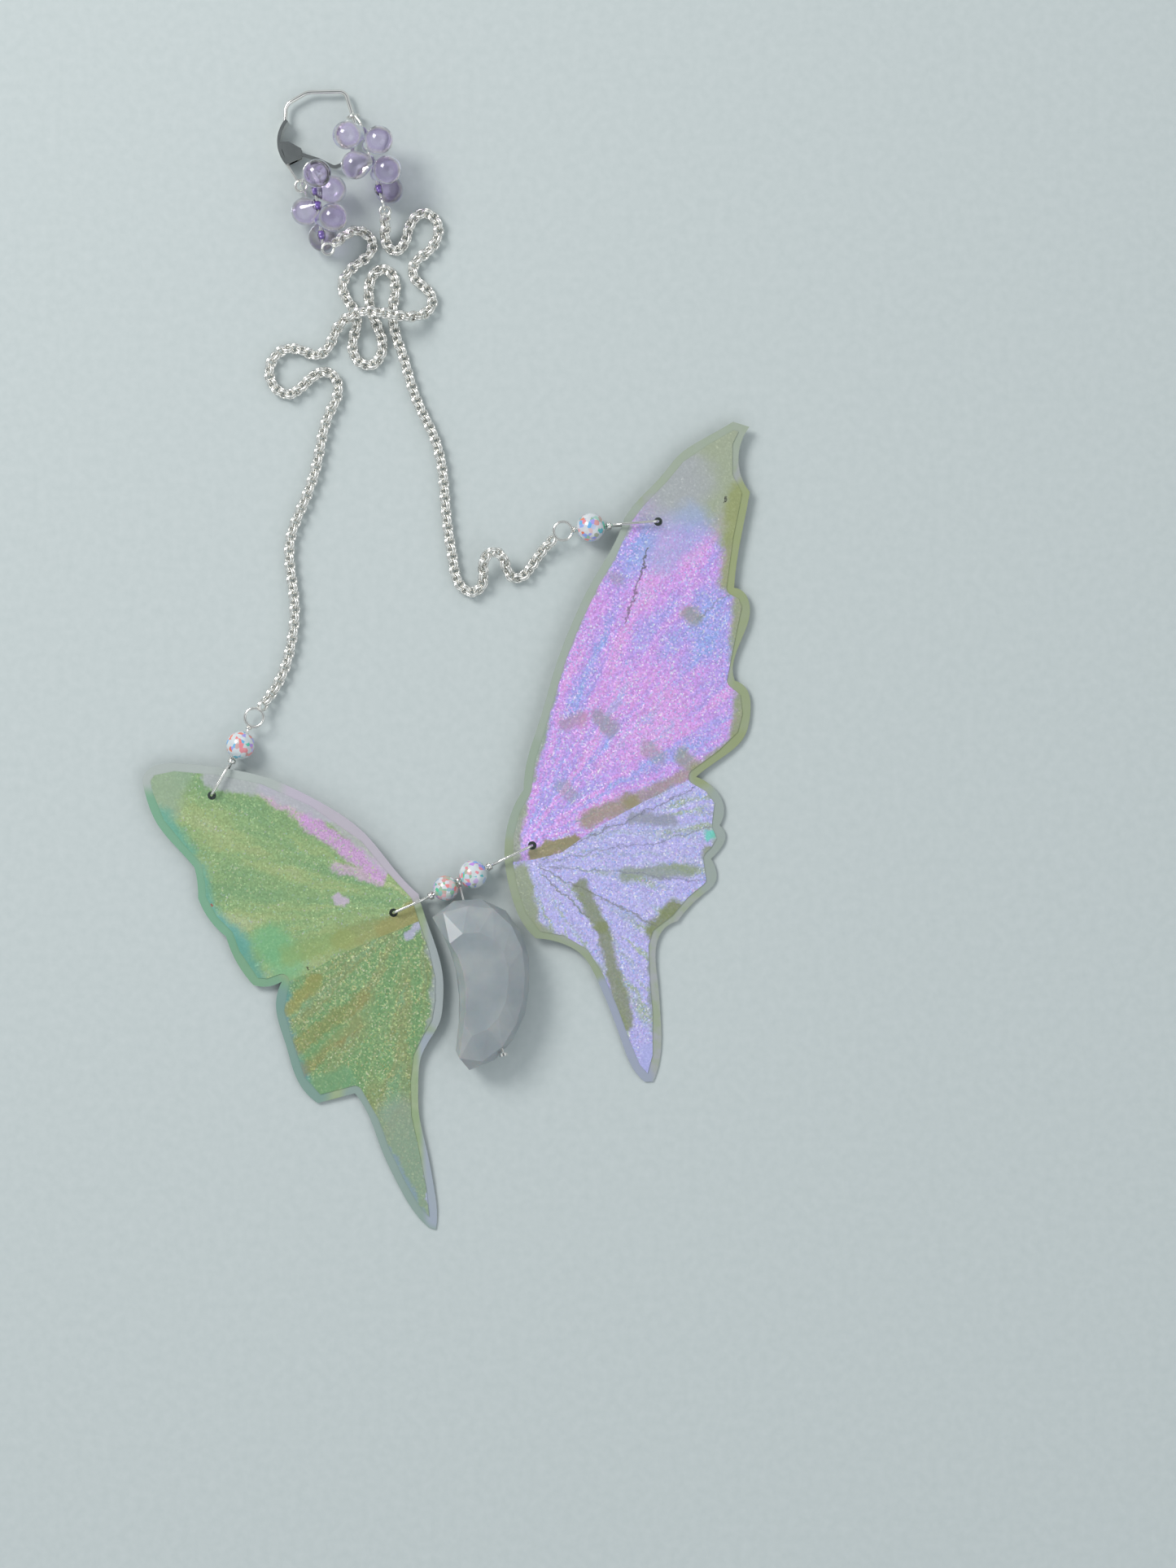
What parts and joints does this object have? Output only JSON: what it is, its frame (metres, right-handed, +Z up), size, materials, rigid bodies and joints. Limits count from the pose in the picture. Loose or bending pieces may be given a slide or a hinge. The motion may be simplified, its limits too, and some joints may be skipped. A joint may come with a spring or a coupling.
{
  "type": "winged pendant necklace",
  "caption": "Necklace laid flat: film butterfly wings on wire loops, opal beads, a crescent stone drop, glass drop clusters, fine chain and a leverback clasp.",
  "frame": {"origin": "on the surface it lies on, under the middle of everything but the two chains", "axes": "+X to the wearer's right as seen from above, +Y from the wing tails up to the clasp, +Z up from the surface"},
  "size_m": [0.0852, 0.1599, 0.0097],
  "materials": {
    "silver_wire": "polished",
    "polished_silver": "polished",
    "silver_chain": "polished",
    "opal_glass": "polished",
    "drop_glass": "polished",
    "stone": "polished",
    "clear_film": "glossy",
    "green_film": "iridescent",
    "olive_film": "iridescent",
    "violet_film": "iridescent",
    "blue_film": "iridescent"
  },
  "bodies": {
    "frame": {"left_outer_link_wire": "silver_wire", "right_outer_link_wire": "silver_wire", "centre_link_wire": "silver_wire", "left_cluster_wire": "silver_wire", "right_cluster_wire": "silver_wire", "right_chain_jump_ring": "silver_wire", "left_chain": "silver_chain", "right_chain": "silver_chain", "clasp_ear_wire": "polished_silver", "clasp_shell": "polished_silver", "clasp_rivet": "polished_silver", "clasp_ring": "polished_silver"},
    "left_wing": {"left_wing_backing": "clear_film", "left_forewing_film": "green_film", "left_hindwing_film": "olive_film"},
    "right_wing": {"right_wing_backing": "clear_film", "right_forewing_film": "violet_film", "right_hindwing_film": "blue_film"},
    "crescent": {"crescent_stone": "stone", "crescent_head_pin": "silver_wire"},
    "lever": {"clasp_lever": "polished_silver"},
    "left_outer_opal_bead": {"left_outer_opal": "opal_glass"},
    "right_outer_opal_bead": {"right_outer_opal": "opal_glass"},
    "centre_left_opal_bead": {"centre_left_opal": "opal_glass"},
    "centre_right_opal_bead": {"centre_right_opal": "opal_glass"},
    "left_drop_1_bead": {"left_drop_1": "drop_glass"},
    "left_drop_2_bead": {"left_drop_2": "drop_glass"},
    "left_drop_3_bead": {"left_drop_3": "drop_glass"},
    "left_drop_4_bead": {"left_drop_4": "drop_glass"},
    "left_drop_5_bead": {"left_drop_5": "drop_glass"},
    "right_drop_1_bead": {"right_drop_1": "drop_glass"},
    "right_drop_2_bead": {"right_drop_2": "drop_glass"},
    "right_drop_3_bead": {"right_drop_3": "drop_glass"},
    "right_drop_4_bead": {"right_drop_4": "drop_glass"},
    "right_drop_5_bead": {"right_drop_5": "drop_glass"}
  },
  "joints": [
    {"name": "left_wing_tilt", "type": "hinge", "parent": "frame", "child": "left_wing", "pos_m": [-0.0329, -0.0189, 0.002], "axis": [-0.8401, 0.5424, 0], "range_deg": [0, 12]},
    {"name": "right_wing_tilt", "type": "hinge", "parent": "frame", "child": "right_wing", "pos_m": [0.0295, 0.0194, 0.002], "axis": [-0.3621, -0.9321, 0], "range_deg": [0, 12]},
    {"name": "crescent_swing", "type": "hinge", "parent": "frame", "child": "crescent", "pos_m": [0.00163, -0.03097, 0.002], "axis": [-0.8916, -0.4528, 0], "range_deg": [0, 90]},
    {"name": "left_outer_opal_spin", "type": "hinge", "parent": "frame", "child": "left_outer_opal_bead", "pos_m": [-0.0289, -0.0119, 0.002], "axis": [-0.438, -0.899, 0], "continuous": true},
    {"name": "right_outer_opal_spin", "type": "hinge", "parent": "frame", "child": "right_outer_opal_bead", "pos_m": [0.0201, 0.0186, 0.002], "axis": [0.9919, 0.1272, 0], "continuous": true},
    {"name": "centre_left_opal_spin", "type": "hinge", "parent": "frame", "child": "centre_left_opal_bead", "pos_m": [-0.0002, -0.0319, 0.002], "axis": [0.8916, 0.4528, 0], "continuous": true},
    {"name": "centre_right_opal_spin", "type": "hinge", "parent": "frame", "child": "centre_right_opal_bead", "pos_m": [0.00364, -0.02995, 0.002], "axis": [0.8916, 0.4528, 0], "continuous": true},
    {"name": "left_drop_1_swing", "type": "hinge", "parent": "frame", "child": "left_drop_1_bead", "pos_m": [-0.0185, 0.0672, 0.0052], "axis": [0.1354, -0.989, -0.0589], "range_deg": [-5, 5]},
    {"name": "left_drop_2_swing", "type": "hinge", "parent": "frame", "child": "left_drop_2_bead", "pos_m": [-0.01822, 0.06517, 0.00508], "axis": [0.1354, -0.989, -0.0589], "range_deg": [-5, 5]},
    {"name": "left_drop_3_swing", "type": "hinge", "parent": "frame", "child": "left_drop_3_bead", "pos_m": [-0.01794, 0.06314, 0.00496], "axis": [0.1354, -0.989, -0.0589], "range_deg": [-5, 5]},
    {"name": "left_drop_4_swing", "type": "hinge", "parent": "frame", "child": "left_drop_4_bead", "pos_m": [-0.01767, 0.06112, 0.00484], "axis": [0.1354, -0.989, -0.0589], "range_deg": [-5, 5]},
    {"name": "left_drop_5_swing", "type": "hinge", "parent": "frame", "child": "left_drop_5_bead", "pos_m": [-0.01739, 0.05909, 0.00472], "axis": [0.1354, -0.989, -0.0589], "range_deg": [-5, 5]},
    {"name": "right_drop_1_swing", "type": "hinge", "parent": "frame", "child": "right_drop_1_bead", "pos_m": [-0.0116, 0.0734, 0.0048], "axis": [0.2674, -0.9626, -0.0428], "range_deg": [-5, 5]},
    {"name": "right_drop_2_swing", "type": "hinge", "parent": "frame", "child": "right_drop_2_bead", "pos_m": [-0.01105, 0.07143, 0.00471], "axis": [0.2674, -0.9626, -0.0428], "range_deg": [-5, 5]},
    {"name": "right_drop_3_swing", "type": "hinge", "parent": "frame", "child": "right_drop_3_bead", "pos_m": [-0.0105, 0.06945, 0.00462], "axis": [0.2674, -0.9626, -0.0428], "range_deg": [-5, 5]},
    {"name": "right_drop_4_swing", "type": "hinge", "parent": "frame", "child": "right_drop_4_bead", "pos_m": [-0.00996, 0.06748, 0.00454], "axis": [0.2674, -0.9626, -0.0428], "range_deg": [-5, 5]},
    {"name": "right_drop_5_swing", "type": "hinge", "parent": "frame", "child": "right_drop_5_bead", "pos_m": [-0.00941, 0.06551, 0.00445], "axis": [0.2674, -0.9626, -0.0428], "range_deg": [-5, 5]},
    {"name": "clasp_lever_turn", "type": "hinge", "parent": "frame", "child": "lever", "pos_m": [-0.021, 0.071, 0.00125], "axis": [0, 0, -1], "range_deg": [0, 35]}
  ]
}
